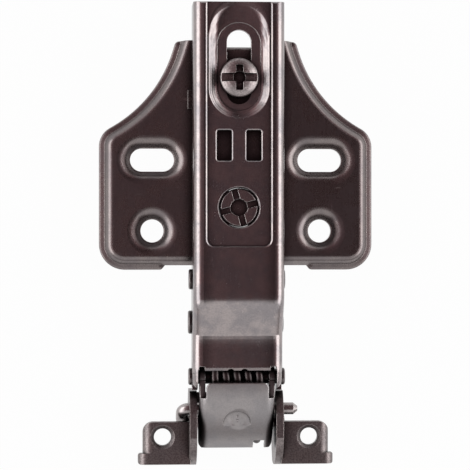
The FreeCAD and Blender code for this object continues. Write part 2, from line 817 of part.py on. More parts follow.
inner_half = size("inner_half")
inner_sheet = size("inner_sheet")
link_y, link_z = PINS["link"]
slot_dy = size("inner_slot_dy")
slot_dz = size("inner_slot_dz")
inner_side = [
    (-17.3, 0.1, 0.5), (-21.8, 0.15, 2.0), (-24.2, -2.0, 2.0), (-26.4, -3.3, 3.0), (-30.4, -3.3, 4.0),
    (-34.6, -1.2, 1.0), (-34.9, 1.2, 1.0), (-33.4, 2.2, 0.8), (-31.5, 0.2, 1.6), (-29.6, -0.95, 1.5),
    (-26.0, -0.95, 2.5), (-23.3, 1.6, 2.5), (-21.3, 5.2, 1.5), (-19.2, 5.9, 1.0), (-17.3, 5.5, 0.5),
]
inner = side_prism(inner_side, -inner_half, inner_half)
rear_rad = size("inner_rear_rad")
inner = inner.fuse(across(rear_rad, -inner_half, inner_half, link_y, link_z))
inner = inner.fuse(across(rear_rad, -inner_half, inner_half, link_y + slot_dy, link_z + slot_dz))
inner = inner.fuse(across(size("inner_eye_rad"), -inner_half, inner_half, leg_one[0], leg_one[1]))
inner_hollow = [
    (-10.0, -0.5, 0), (-16.5, 1.3, 0), (-21.4, 1.35, 2.0), (-23.6, -0.8, 2.0), (-26.6, -2.15, 2.0),
    (-30.2, -2.15, 3.0), (-32.4, -1.2, 1.0), (-37.0, 0.0, 0), (-37.0, 9.0, 0), (-10.0, 9.0, 0),
]
thick = inner_half - inner_sheet
inner = inner.cut(side_prism(inner_hollow, -thick, thick))
inner = inner.cut(across(leg_rad + gap, -20, 20, leg_one[0], leg_one[1]))
slot_r = size("inner_slot_rad")
inner = inner.cut(across(slot_r, -20, 20, link_y, link_z))
inner = inner.cut(across(slot_r, -20, 20, link_y + slot_dy, link_z + slot_dz))
run = vec(0, slot_dy, slot_dz)
normal = vec(0, -slot_dz, slot_dy).normalize() * slot_r
start = vec(-20, link_y, link_z)
bar = Part.Face(Part.makePolygon([
    start + normal, start - normal, start - normal + run, start + normal + run, start + normal,
])).extrude(vec(40, 0, 0))
inner = inner.cut(bar)
add_feature("inner_link", inner)


# Torsion spring: close coils round the front pin with a leg under the outer link

coil = size("coil_rad")
wire = size("wire_dia")
coil_half = outer_half - link_sheet - wire / 2 - size("coil_side_gap")
coil_long = 2 * coil_half
touch = vec(0, front_y, front_z) - crown
touch_deg = math.degrees(math.atan2(touch.z, touch.y))
turns = size("coil_turns") + (touch_deg - 90) / 360
helix = Part.makeHelix(coil_long / turns, coil_long, coil)
helix.rotate(vec(0, 0, 0), vec(0, 1, 0), 90)
first = helix.Edges[0].valueAt(helix.Edges[0].FirstParameter)
helix.rotate(vec(0, 0, 0), vec(1, 0, 0), 90 - math.degrees(math.atan2(first.z, first.y)))
helix.translate(vec(-coil_half, front_y, front_z))
coil_start = vec(-coil_half, front_y, front_z + coil)
coil_section = Part.Wire(Part.makeCircle(
    wire / 2, coil_start, helix.Edges[0].tangentAt(helix.Edges[0].FirstParameter),
))
spring = Part.Wire(helix.Edges).makePipeShell([coil_section], True, True)
leg_radius = crown_rad - link_sheet - wire / 2 - 0.1
leg_start = crown + vec(0, touch.y, touch.z).normalize() * leg_radius
leg_edges = Part.Arc(
    leg_start,
    crown_point(-35.5, leg_radius),
    crown_point(-40.5, leg_radius),
).toShape()
leg_section = Part.Face(Part.Wire(Part.makeCircle(
    wire / 2, leg_edges.valueAt(leg_edges.FirstParameter), leg_edges.tangentAt(leg_edges.FirstParameter),
)))
leg_turn = math.degrees(leg_edges.LastParameter - leg_edges.FirstParameter)
leg = leg_section.revolve(crown, vec(1, 0, 0), leg_turn)
leg.translate(vec(coil_half, 0, 0))
tail = Part.makeCylinder(wire / 2, 6.6, coil_start, vec(0, 1, 0))
spring = Part.Solid(spring) if spring.ShapeType == "Shell" else spring
joints = [Part.makeSphere(wire / 2, coil_start), Part.makeSphere(wire / 2, leg_start + vec(coil_half, 0, 0))]
spring = spring.fuse([leg, tail] + joints)
add_feature("torsion_spring", spring)


# Door bracket: two walls, a floor behind the front pivot and two screw ears

wall_in = outer_half + size("bracket_gap")
wall_out = wall_in + size("bracket_wall")
reach = size("bracket_reach")
bracket_back = size("bracket_back_y")
bracket_top = size("bracket_top_z")
bracket_low = size("bracket_bottom_z")
bracket_side = [
    (bracket_back, bracket_low + 2.2, 1.0),
    (bracket_back, bracket_top, 0.5),
    (leg_two[0] - 8.9, bracket_top, 0.5),
    (leg_two[0] - 8.9, -5.0, 1.5),
    (-42.3, bracket_low, 2.0),
    (-32.6, bracket_low, 2.0),
]
bracket = side_prism(bracket_side, -wall_out, wall_out)
bracket = bracket.common(across(reach, -wall_out, wall_out, leg_two[0], leg_two[1]))
floor_z = bracket_low + size("bracket_floor")
floor_front = size("bracket_floor_front")
hollow_side = [
    (-25.0, floor_z, 0), (floor_front, floor_z, 0), (floor_front, -12.0, 0), (-50.0, -12.0, 0),
    (-50.0, 10.0, 0), (-25.0, 10.0, 0),
]
bracket = bracket.cut(side_prism(hollow_side, -wall_in, wall_in))
ear_top = size("ear_top_z")
ear_low = ear_top - size("ear_thick")
ear_back = size("ear_back_y")
ear_front = size("ear_front_y")
ear_out = size("ear_reach")


def ear_bar(side, front, back, out):
    """Return one ear's bar along y, its outer edge rolled over, from the wall outward."""
    roll = 1.8
    inner_x = wall_out - 0.6
    top_end = vec(side * (out - roll), front, ear_top)
    bend_mid = vec(side * (out - roll + roll * math.sqrt(0.5)), front, ear_top - roll + roll * math.sqrt(0.5))
    side_end = vec(side * out, front, ear_top - roll)
    corners = [
        vec(side * out, front, ear_low), vec(side * inner_x, front, ear_low),
        vec(side * inner_x, front, ear_top), top_end,
    ]
    lines = [Part.makeLine(side_end, corners[0])]
    lines += [Part.makeLine(start, end) for start, end in zip(corners[:-1], corners[1:])]
    lines.append(Part.Arc(top_end, bend_mid, side_end).toShape())
    return Part.Face(Part.Wire(lines)).extrude(vec(0, back - front, 0))


for side in (-1, 1):
    corners = [
        (side * wall_in, ear_back, 0), (side * (ear_out - 0.9), ear_back, 2.0),
        (side * (ear_out - 0.9), ear_front, 0.4), (side * wall_in, ear_front, 0),
    ]
    lip = [
        (side * wall_in, ear_front + 2.1, 0), (side * ear_out, ear_front + 2.1, 0.5),
        (side * ear_out, ear_front, 0.5), (side * wall_in, ear_front, 0),
    ]
    ear = ear_bar(side, ear_front, ear_back, ear_out - 0.9).common(plan_prism(corners, -5, 5))
    ear = ear.fuse(ear_bar(side, ear_front, ear_front + 2.1, ear_out).common(plan_prism(lip, -5, 5)))
    bracket = bracket.fuse(ear)
    hole_x = side * size("ear_hole_x")
    hole_y = size("ear_hole_y")
    hole_rad = size("ear_hole_dia") / 2
    ring_rad = size("ear_ring_dia") / 2
    bracket = bracket.cut(upright(hole_rad, ear_low - 1, ear_top + 1, hole_x, hole_y))
    bracket = bracket.cut(Part.makeCone(
        hole_rad, ring_rad, ring_rad - hole_rad, vec(hole_x, hole_y, ear_top - ring_rad + hole_rad),
    ))
for y, z in (leg_one, leg_two):
    bracket = bracket.cut(across(leg_rad, -20, 20, y, z))
# Beside the walls the ears keep clear of the arm's nose while the door closes
nose_room = Part.makeBox(2 * arm_half + 0.3, 6, 12, vec(-arm_half - 0.15, ear_front - 1, -5))
bracket = bracket.cut(nose_room.cut(across(reach, -20, 20, leg_two[0], leg_two[1])))
add_feature("door_bracket", bracket)


# U-pin: one bent wire whose two legs are the bracket's pivots

bend = 1.3
left_end = -wall_out - 0.05
mid_run = vec(0, leg_two[0] - leg_one[0], leg_two[1] - leg_one[1]).normalize()
one = vec(0, leg_one[0], leg_one[1])
two = vec(0, leg_two[0], leg_two[1])
tip = one + vec(wall_out + 2.1, 0, 0)
side_x = left_end - bend
slant = math.sqrt(0.5)
edges = [
    Part.makeLine(tip, one + vec(left_end, 0, 0)),
    Part.Arc(
        one + vec(left_end, 0, 0),
        one + vec(left_end - bend * slant, 0, 0) + mid_run * (bend * (1 - slant)),
        one + vec(side_x, 0, 0) + mid_run * bend,
    ).toShape(),
    Part.makeLine(one + vec(side_x, 0, 0) + mid_run * bend, two + vec(side_x, 0, 0) - mid_run * bend),
    Part.Arc(
        two + vec(side_x, 0, 0) - mid_run * bend,
        two + vec(left_end - bend * slant, 0, 0) - mid_run * (bend * (1 - slant)),
        two + vec(left_end, 0, 0),
    ).toShape(),
    Part.makeLine(two + vec(left_end, 0, 0), two + vec(wall_out + 0.7, 0, 0)),
]
section = Part.Wire(Part.makeCircle(leg_rad, tip, vec(1, 0, 0)))
u_pin = Part.Wire(edges).makePipeShell([section], True, True)
u_pin = Part.Solid(u_pin) if u_pin.ShapeType == "Shell" else u_pin
u_pin = u_pin.fuse(Part.makeCone(leg_rad, 0.5, 0.8, tip, vec(1, 0, 0)))
add_feature("u_pin", u_pin)


# Fixing screw: domed head, combined recess, shank through the plate's collar

fix_body = add_body("fixing_screw")
HEAD_LOW = "Sizes.arm_top - Sizes.panel_sink - Sizes.dish_depth + 0.05"
turned(fix_body, "FixingTurned", [
    ("0", "3.2"),
    ("Sizes.fix_shank_dia / 2 - 0.7", "3.2"),
    ("Sizes.fix_shank_dia / 2", "3.9"),
    ("Sizes.fix_shank_dia / 2", HEAD_LOW),
    ("Sizes.fix_head_dia / 2", HEAD_LOW),
    ("Sizes.fix_head_dia / 2", HEAD_LOW + " + 0.85"),
    ("Sizes.fix_head_dia / 2 - 0.15", HEAD_LOW + " + 1.05"),
    ("Sizes.fix_head_dia / 2 - 0.45", HEAD_LOW + " + 1.3"),
    ("Sizes.fix_head_dia / 2 - 0.9", HEAD_LOW + " + 1.57"),
    ("Sizes.fix_head_dia / 2 - 1.5", HEAD_LOW + " + 1.86"),
    ("Sizes.fix_head_dia / 2 - 2.2", HEAD_LOW + " + 2.11"),
    ("Sizes.fix_head_dia / 2 - 2.9", HEAD_LOW + " + 2.27"),
    ("0", HEAD_LOW + " + 2.33"),
])
doc.recompute()


def add_recess(body, name, base, bars, bore, turn_deg=0):
    """Cut a recess from the top of a screw.

    The bars are (half x, half y, depth), turned about the axis; the bore is (radius, depth).
    """
    before = body.Shape.Volume
    cuts = [(bar[:2], bar[2]) for bar in bars] + [(bore[:1], bore[1])]
    turn = FreeCAD.Rotation(vec(0, 0, 1), turn_deg)
    for index, (plan, depth) in enumerate(cuts):
        sketch = add_sketch(body, f"{name}Sketch{index}", "XY_Plane", base)
        if len(plan) == 1:
            sketch.addGeometry(Part.Circle(vec(0, 0, 0), vec(0, 0, 1), plan[0]), False)
        else:
            signs = [(-1, -1), (1, -1), (1, 1), (-1, 1)]
            corners = [turn.multVec(vec(ax * plan[0], ay * plan[1], 0)) for ax, ay in signs]
            for start, end in zip(corners, corners[1:] + corners[:1]):
                sketch.addGeometry(Part.LineSegment(start, end), False)
        pocket = body.newObject("PartDesign::Pocket", f"{name}Pocket{index}")
        pocket.Profile = sketch
        pocket.Length = depth
        doc.recompute()
    if body.Shape.Volume >= before:
        raise RuntimeError(name + " cut nothing")


add_recess(
    fix_body, "FixingRecess", HEAD_LOW + " + 2.5",
    [(3.7, 0.78, 1.35), (0.68, 2.35, 1.6)], (1.15, 2.1),
)
bind(fix_body, Placement__Base__y="Sizes.fix_y")


# Adjusting screw: flush threaded head, neck and flange held by the plate's key slot

adjust_body = add_body("adjusting_screw")
PANEL = "Sizes.arm_top - Sizes.panel_sink"
BRIDGE = "Sizes.bridge_top"
turned(adjust_body, "AdjustTurned", [
    ("0", BRIDGE + " - 3.0"),
    ("Sizes.adjust_flange_dia / 2", BRIDGE + " - 3.0"),
    ("Sizes.adjust_flange_dia / 2", BRIDGE + " - 1.4"),
    ("Sizes.adjust_neck_dia / 2", BRIDGE + " - 1.4"),
    ("Sizes.adjust_neck_dia / 2", BRIDGE + " + 0.1"),
    ("Sizes.adjust_dia / 2", BRIDGE + " + 0.1"),
    ("Sizes.adjust_dia / 2", PANEL + " - 0.35"),
    ("Sizes.adjust_dia / 2 - 0.3", PANEL + " - 0.05"),
    ("0", PANEL + " - 0.05"),
])
doc.recompute()
add_recess(
    adjust_body, "AdjustRecess", PANEL + " + 0.2",
    [(3.7, 0.585, 1.1), (0.585, 3.7, 1.1)], (1.6, 1.7), 15,
)
bind(adjust_body, Placement__Base__y="Sizes.adjust_y")
doc.recompute()


# Check every object, then write one file for each sub-part

NODES = [
    "mounting_plate", "hinge_arm", "fixing_screw", "adjusting_screw",
    "front_axis_pin", "link_axis_pin", "rear_cross_pin", "outer_link",
    "inner_link", "torsion_spring", "door_bracket", "u_pin",
]
for item in doc.Objects:
    if "Invalid" in item.State or "Error" in item.State:
        raise RuntimeError("failed: " + item.Name)
for name in NODES:
    item = doc.getObject(name)
    shape = item.Shape
    if shape.isNull() or not shape.isValid():
        raise RuntimeError("bad shape: " + name)
    if len(shape.Solids) != 1:
        raise RuntimeError(f"{name} has {len(shape.Solids)} solids")
    print(name, round(shape.Volume, 2), len(shape.Faces), shape.optimalBoundingBox(False))
for name in NODES:
    doc.getObject(name).Shape.exportStep(f"parts/{name}.step")
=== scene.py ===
"""Dress the cabinet hinge in its nickel finishes, wind its spring and light it as in a white tent."""

from __future__ import annotations

import json
import logging
import math
from dataclasses import dataclass
from enum import Enum

import bpy
import numpy as np
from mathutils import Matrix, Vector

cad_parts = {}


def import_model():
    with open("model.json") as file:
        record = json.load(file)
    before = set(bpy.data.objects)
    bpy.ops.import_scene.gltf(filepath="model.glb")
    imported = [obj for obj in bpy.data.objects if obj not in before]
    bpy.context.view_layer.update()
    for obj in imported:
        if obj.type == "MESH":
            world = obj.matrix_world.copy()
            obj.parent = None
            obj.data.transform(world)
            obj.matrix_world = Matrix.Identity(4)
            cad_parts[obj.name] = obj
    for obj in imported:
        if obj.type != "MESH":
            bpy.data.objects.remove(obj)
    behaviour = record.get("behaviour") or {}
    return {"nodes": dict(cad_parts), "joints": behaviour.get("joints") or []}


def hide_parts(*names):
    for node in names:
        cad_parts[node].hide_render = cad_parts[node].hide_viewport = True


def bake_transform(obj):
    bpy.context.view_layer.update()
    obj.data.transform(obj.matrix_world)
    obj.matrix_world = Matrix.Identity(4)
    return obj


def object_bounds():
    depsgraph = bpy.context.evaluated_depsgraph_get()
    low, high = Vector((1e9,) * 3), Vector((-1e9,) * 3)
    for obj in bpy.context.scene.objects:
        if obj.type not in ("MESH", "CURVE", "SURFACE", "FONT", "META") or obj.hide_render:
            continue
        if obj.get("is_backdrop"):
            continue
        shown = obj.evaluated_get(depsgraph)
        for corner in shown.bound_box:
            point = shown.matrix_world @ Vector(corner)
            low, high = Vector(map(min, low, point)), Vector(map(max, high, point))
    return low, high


LOG = logging.getLogger("cabinet_hinge")
MM = 0.001
PER_METRE = 1000.0
Colour = tuple[float, float, float]
Point = tuple[float, float, float]
Socket = bpy.types.NodeSocket
Value = float | Socket

# Scales of the patterns: their cells for each metre along X, Y and Z
EVEN_SCALE: Point = (PER_METRE, PER_METRE, PER_METRE)
PLAN_SCALE: Point = (PER_METRE, PER_METRE, 0.0)
ROLLED_SCALE: Point = (3800.0, 260.0, 3800.0)
HAIR_SCALE: Point = (2600.0, 170.0, 900.0)
PATCH_SCALE: Point = (520.0, 300.0, 400.0)

# Each set of hairlines: its turn about Z in radians, and the noise level that its lines follow
HAIR_SETS = ((0.35, 0.42), (-0.5, 0.5), (1.3, 0.55))

# How much of the pale colour of wear and painted edge highlight the marks bare, how they move the roughness, and
# their height in millimetres
HAIR_WEAR, SPECK_WEAR, NICK_WEAR, EDGE_WEAR_AND_HIGHLIGHT = 0.5, 0.8, 0.6, 0.85
STREAK_SATIN, FINE_SATIN, STAIN_SATIN, SPECK_SATIN = 0.08, 0.10, 0.05, 0.25
STREAK_HIGH, FINE_HIGH, CLOUD_HIGH, HAIR_HIGH, NICK_HIGH = 0.00025, 0.0007, 0.0020, -0.0012, -0.02

# What the grain and the painted shade along the flanks leave of the stain's light
TONED_SHARE, FLANK_SHADE_SHARE = 0.45, 0.25

# Painted shade in recesses, gaps and beside tall parts: its colour, and how far it looks for open sky in
# millimetres
PAINTED_SHADE_COLOUR: Colour = (0.012, 0.010, 0.010)
PAINTED_SHADE_REACH = 3.5

# Places of the two colours and of the mixed one among the sockets of a Mix node
FIRST_COLOUR, SECOND_COLOUR, MIXED_COLOUR = 6, 7, 2

WHITE = (1.0, 1.0, 1.0, 1.0)


class Body(Enum):
    """Moving bodies of the hinge that hold the spring's two ends."""

    ARM = "arm"
    OUTER = "outer"


class Axis(Enum):
    """Axis that a card's light is graded along."""

    ACROSS = "X"
    UP = "Z"


class NodeBoard:
    """One node tree, filled by short calls."""

    def __init__(self, tree: bpy.types.NodeTree) -> None:
        """Empty the tree.

        Args:
            tree: Node tree of a material or of the world.
        """
        self.tree = tree
        tree.nodes.clear()

    def add(self, kind: str, inputs: dict | None = None, **settings: object) -> bpy.types.Node:
        """Add a node, set it up and feed its inputs.

        Args:
            kind: Blender's name of the node type.
            inputs: Input name or index to a value, or to a socket to link.
            **settings: Attributes of the node.

        Returns:
            The new node.
        """
        node = self.tree.nodes.new(kind)
        for key, value in settings.items():
            setattr(node, key, value)
        for key, value in (inputs or {}).items():
            self.feed(node, key, value)
        return node

    def feed(self, node: bpy.types.Node, key: str | int, value: object) -> None:
        """Link a socket to a node's input, or set the input to a value.

        Args:
            node: The node.
            key: Name or index of its input.
            value: The socket or the value.
        """
        if isinstance(value, Socket):
            self.tree.links.new(value, node.inputs[key])
        else:
            node.inputs[key].default_value = value

    def math(self, operation: str, first: Value, second: Value = 0.0, third: Value | None = None,
             clamp: bool = False) -> Socket:
        """Work out one sum.

        Args:
            operation: Blender's name of the sum.
            first: Its first value.
            second: Its second value.
            third: Its third value, where the sum has one.
            clamp: Whether the result is held between 0 and 1.

        Returns:
            The result.
        """
        inputs = {0: first, 1: second}
        if third is not None:
            inputs[2] = third
        return self.add("ShaderNodeMath", inputs, operation=operation, use_clamp=clamp).outputs[0]

    def ramp(self, value: Value, low: float, high: float, start: float = 0.0, end: float = 1.0) -> Socket:
        """Move a value smoothly from one range to another, and hold it at the ends.

        Args:
            value: The value.
            low: Where the result is start.
            high: Where the result is end.
            start: Result at low and beyond it.
            end: Result at high and beyond it.

        Returns:
            The result.
        """
        return self.add(
            "ShaderNodeMapRange",
            {"Value": value, "From Min": low, "From Max": high, "To Min": start, "To Max": end},
            interpolation_type="SMOOTHSTEP", clamp=True,
        ).outputs["Result"]

    def mix(self, share: Value, first: Colour | Socket, second: Colour | Socket) -> Socket:
        """Mix two colours.

        Args:
            share: Share of the second colour, from 0 to 1.
            first: Colour where the share is 0.
            second: Colour where the share is 1.

        Returns:
            The mixed colour.
        """
        node = self.add("ShaderNodeMix", {0: share}, data_type="RGBA")
        for index, colour in ((FIRST_COLOUR, first), (SECOND_COLOUR, second)):
            self.feed(node, index, colour if isinstance(colour, Socket) else (*colour, 1.0))
        return node.outputs[MIXED_COLOUR]

    def noise(self, place: Socket, scale: float, detail: float, roughness: float) -> Socket:
        """Read a noise pattern.

        Args:
            place: Place on the piece, in the pattern's own units.
            scale: Cells for each unit.
            detail: How many finer layers it adds.
            roughness: How strong the finer layers are.

        Returns:
            The noise, from 0 to 1.
        """
        return self.add(
            "ShaderNodeTexNoise",
            {"Vector": place, "Scale": scale, "Detail": detail, "Roughness": roughness},
        ).outputs["Fac"]

    def part(self, vector: Socket, axis: str) -> Socket:
        """Return one of a vector's three parts."""
        return self.add("ShaderNodeSeparateXYZ", {0: vector}).outputs[axis]

    def place(self, coordinate: Socket, scale: Point, spot: Point = (0.0, 0.0, 0.0),
              turn: float = 0.0) -> Socket:
        """Centre the piece's coordinates on a spot, scale them and turn them about Z.

        Args:
            coordinate: Object coordinates, in metres.
            scale: Units of the result for each metre along X, Y and Z.
            spot: The new origin, in metres.
            turn: Turn about Z, in radians.

        Returns:
            The place in the new coordinates.
        """
        centred = self.add("ShaderNodeVectorMath", {0: coordinate, 1: spot}, operation="SUBTRACT").outputs[0]
        inputs = {"Vector": centred, "Rotation": (0.0, 0.0, turn), "Scale": scale}
        return self.add("ShaderNodeMapping", inputs).outputs[0]


@dataclass(frozen=True)
class Nick:
    """A short scratch seen from above: its middle, turn and size in millimetres, and its depth up to 1."""

    x: float
    y: float
    turn_deg: float
    long: float
    wide: float
    depth: float


@dataclass(frozen=True)
class Press:
    """A soft pressed slope round a line along Y, in millimetres.

    Its surface rises between the inner and the outer distance from the line.
    """

    x: float
    front: float
    back: float
    inner: float
    outer: float
    rise: float


@dataclass(frozen=True)
class Marks:
    """Patterns of one finish, each from 0 to 1, that its colour, roughness and relief are made of."""

    streak: Socket
    cloud: Socket
    fine: Socket
    stained: Socket
    toned: Socket
    hair: Socket
    speck: Socket
    nick: Value


@dataclass(frozen=True)
class NickelFinish:
    """Satin nickel plate: a mottled film with rolled grain, hairlines and dust specks, paler edges that are
    rubbed wear and a painted highlight, and painted shade in recesses and along flanks.

    Attributes:
        name: Name of the material.
        film: Colour of the plated film.
        stain: Colour of its darker mottles.
        wear_and_highlight_colour: Paler colour of scratches and specks, and of edges, where it is rubbed wear
            and a painted highlight.
        roughness: Roughness of the clean film.
        edge_mm: Radius of the rounded edges, which are paler with rubbed wear and a painted highlight.
        dust: Strength of the dust specks.
        grain: Strength of the grain in roughness and relief.
        stain_scale: Mottles for each millimetre.
        painted_shade_strength: Strength of the painted shade in recesses, gaps and beside tall parts.
        tone: How much the fine grain darkens the film.
        flank: Distances from the piece's middle, in millimetres, between which painted shade darkens its top.
        nicks: Placed scratches.
        presses: Pressed slopes that are relief only.
    """

    name: str
    film: Colour
    stain: Colour
    wear_and_highlight_colour: Colour
    roughness: float
    edge_mm: float
    dust: float
    grain: float = 1.0
    stain_scale: float = 0.16
    painted_shade_strength: float = 0.9
    tone: float = 0.15
    flank: tuple[float, float] | None = None
    nicks: tuple[Nick, ...] = ()
    presses: tuple[Press, ...] = ()

    def material(self) -> bpy.types.Material:
        """Build the finish as a node material on Object coordinates.

        Returns:
            The material.
        """
        material = bpy.data.materials.new(self.name)
        material.use_nodes = True
        board = NodeBoard(material.node_tree)
        coordinate = board.add("ShaderNodeTexCoord").outputs["Object"]
        marks = self.marks(board, coordinate)
        rounded, edge_wear_and_highlight = self.edge(board)
        height = self.relief(board, coordinate, marks)
        bump = board.add("ShaderNodeBump", {
            "Height": height, "Normal": rounded, "Strength": 1.0, "Distance": MM,
        })
        surface = board.add("ShaderNodeBsdfPrincipled", {
            "Base Color": self.colour(board, coordinate, marks, edge_wear_and_highlight), "Metallic": 1.0,
            "Roughness": self.satin(board, marks), "Normal": bump.outputs["Normal"],
        })
        board.add("ShaderNodeOutputMaterial", {"Surface": surface.outputs["BSDF"]})
        return material

    def marks(self, board: NodeBoard, coordinate: Socket) -> Marks:
        """Read the patterns of the finish.

        Args:
            board: Nodes of the material.
            coordinate: Object coordinates, in metres.

        Returns:
            The patterns.
        """
        place = board.place(coordinate, EVEN_SCALE)
        mottle = board.noise(place, scale=self.stain_scale, detail=4.0, roughness=0.6)
        cloud = board.noise(place, scale=0.55, detail=3.0, roughness=0.55)
        cloud_share, mottle_share = 0.35, 0.65
        blotch = board.math("MULTIPLY_ADD", cloud, cloud_share, board.math("MULTIPLY", mottle, mottle_share))
        grain = board.noise(place, scale=3.4, detail=2.0, roughness=0.6)
        return Marks(
            streak=board.noise(board.place(coordinate, ROLLED_SCALE), scale=1.0, detail=2.0, roughness=0.5),
            cloud=cloud,
            fine=board.noise(place, scale=7.0, detail=2.0, roughness=0.7),
            stained=board.ramp(blotch, low=0.42, high=0.6),
            toned=board.ramp(grain, low=0.44, high=0.60, end=self.tone),
            hair=self.hairlines(board, coordinate),
            speck=self.specks(board, place),
            nick=self.scratches(board, coordinate),
        )

    def colour(self, board: NodeBoard, coordinate: Socket, marks: Marks, edge_wear_and_highlight: Socket) -> Socket:
        """Mix the film with its stains and grain and the painted shade along the flanks, then the worn places
        and the painted edge highlight, then the painted shade in recesses.

        Args:
            board: Nodes of the material.
            coordinate: Object coordinates, in metres.
            marks: Patterns of the finish.
            edge_wear_and_highlight: How worn the edges are and how much painted highlight they get, from 0 to 1.

        Returns:
            The colour.
        """
        film = board.mix(marks.stained, self.film, self.stain)
        film = board.mix(marks.toned, film, darker(self.stain, TONED_SHARE))
        # Painted shade in stripes along the flanks of the top.
        film = board.mix(self.flank_shade(board, coordinate), film, darker(self.stain, FLANK_SHADE_SHARE))
        # Paler places: rubbed wear and a painted highlight on the edges, and wear on hairlines, specks and
        # nicks.
        worn_and_highlight = edge_wear_and_highlight
        for mark, wear in ((marks.hair, HAIR_WEAR), (marks.speck, SPECK_WEAR), (marks.nick, NICK_WEAR)):
            worn_and_highlight = board.math("MAXIMUM", worn_and_highlight, board.math("MULTIPLY", mark, wear), clamp=True)
        # Painted shade in recesses and gaps darkens the colour last.
        return board.mix(self.painted_shade(board), board.mix(worn_and_highlight, film, self.wear_and_highlight_colour), PAINTED_SHADE_COLOUR)

    def satin(self, board: NodeBoard, marks: Marks) -> Socket:
        """Work out the roughness: grain swings it both ways, and stains and specks raise it.

        Args:
            board: Nodes of the material.
            marks: Patterns of the finish.

        Returns:
            The roughness.
        """
        satin = self.roughness
        for mark, swing in ((marks.streak, STREAK_SATIN), (marks.fine, FINE_SATIN)):
            either_way = board.math("SUBTRACT", mark, 0.5)
            satin = board.math("MULTIPLY_ADD", either_way, swing * self.grain, satin)
        for mark, rise in ((marks.stained, STAIN_SATIN), (marks.speck, SPECK_SATIN)):
            satin = board.math("MULTIPLY_ADD", mark, rise, satin, clamp=True)
        return satin

    def relief(self, board: NodeBoard, coordinate: Socket, marks: Marks) -> Socket:
        """Add up the heights of the marks and the pressed slopes.

        Args:
            board: Nodes of the material.
            coordinate: Object coordinates, in metres.
            marks: Patterns of the finish.

        Returns:
            The height, in millimetres.
        """
        height = 0.0
        for mark, high in (
            (marks.streak, STREAK_HIGH * self.grain), (marks.fine, FINE_HIGH * self.grain),
            (marks.cloud, CLOUD_HIGH * self.grain), (marks.hair, HAIR_HIGH), (marks.nick, NICK_HIGH),
        ):
            height = board.math("MULTIPLY_ADD", mark, high, height)
        for press in self.presses:
            height = board.math("ADD", self.slope(board, coordinate, press), height)
        return height

    def hairlines(self, board: NodeBoard, coordinate: Socket) -> Socket:
        """Find fine scratches: level lines of stretched noise, kept where a second noise is high.

        Args:
            board: Nodes of the material.
            coordinate: Object coordinates, in metres.

        Returns:
            1 on a scratch, 0 elsewhere.
        """
        found = 0.0
        for turn, level in HAIR_SETS:
            stretched = board.place(coordinate, HAIR_SCALE, turn=turn)
            lines = board.noise(stretched, scale=1.0, detail=1.0, roughness=0.4)
            off = board.math("ABSOLUTE", board.math("SUBTRACT", lines, level))
            line = board.ramp(off, low=0.0015, high=0.006, start=1.0, end=0.0)
            patch = board.place(coordinate, PATCH_SCALE, spot=(10 * MM * level, 0.0, 0.0), turn=turn)
            keep = board.ramp(board.noise(patch, scale=1.0, detail=1.0, roughness=0.5), low=0.62, high=0.72)
            found = board.math("MAXIMUM", found, board.math("MULTIPLY", line, keep))
        return found

    def specks(self, board: NodeBoard, place: Socket) -> Socket:
        """Find dust specks: the middles of some cells of a cell pattern.

        Args:
            board: Nodes of the material.
            place: Place on the piece, in millimetres.

        Returns:
            The dust's strength on a speck, 0 elsewhere.
        """
        cells = board.add("ShaderNodeTexVoronoi", {"Vector": place, "Scale": 0.9, "Randomness": 1.0})
        middle = board.ramp(cells.outputs["Distance"], low=0.06, high=0.13, start=1.0, end=0.0)
        lot = board.add("ShaderNodeSeparateColor", {"Color": cells.outputs["Color"]}).outputs["Red"]
        drawn = board.math("MULTIPLY", middle, board.ramp(lot, low=0.72, high=0.95))
        return board.math("MULTIPLY", drawn, self.dust, clamp=True)

    def scratches(self, board: NodeBoard, coordinate: Socket) -> Value:
        """Find the placed scratches: a turned ellipse in plan, as long and wide as the nick.

        Args:
            board: Nodes of the material.
            coordinate: Object coordinates, in metres.

        Returns:
            The nick's depth on a scratch, 0 elsewhere.
        """
        found = 0.0
        for nick in self.nicks:
            halves = (2 * PER_METRE / nick.long, 2 * PER_METRE / nick.wide, 0.0)
            middle = (nick.x * MM, nick.y * MM, 0.0)
            spot = board.place(coordinate, halves, spot=middle, turn=-math.radians(nick.turn_deg))
            reach = board.add("ShaderNodeVectorMath", {0: spot}, operation="LENGTH").outputs["Value"]
            inside = board.ramp(reach, low=0.55, high=1.0, start=1.0, end=0.0)
            found = board.math("MAXIMUM", found, board.math("MULTIPLY", inside, nick.depth))
        return found

    def edge(self, board: NodeBoard) -> tuple[Socket, Socket]:
        """Round the edges and find where they are paler, with rubbed wear and a painted highlight: where the
        rounded normal leans from the face's.

        Args:
            board: Nodes of the material.

        Returns:
            The rounded normal, and the edges' wear and painted highlight from 0 to 1.
        """
        rounded = board.add("ShaderNodeBevel", {"Radius": self.edge_mm * MM}, samples=6).outputs["Normal"]
        face = board.add("ShaderNodeNewGeometry").outputs["Normal"]
        same = board.add("ShaderNodeVectorMath", {0: rounded, 1: face}, operation="DOT_PRODUCT")
        # Paler edges: rubbed wear and a painted highlight where the rounded edges catch the light.
        return rounded, board.ramp(same.outputs["Value"], low=0.98, high=0.78, end=EDGE_WEAR_AND_HIGHLIGHT)

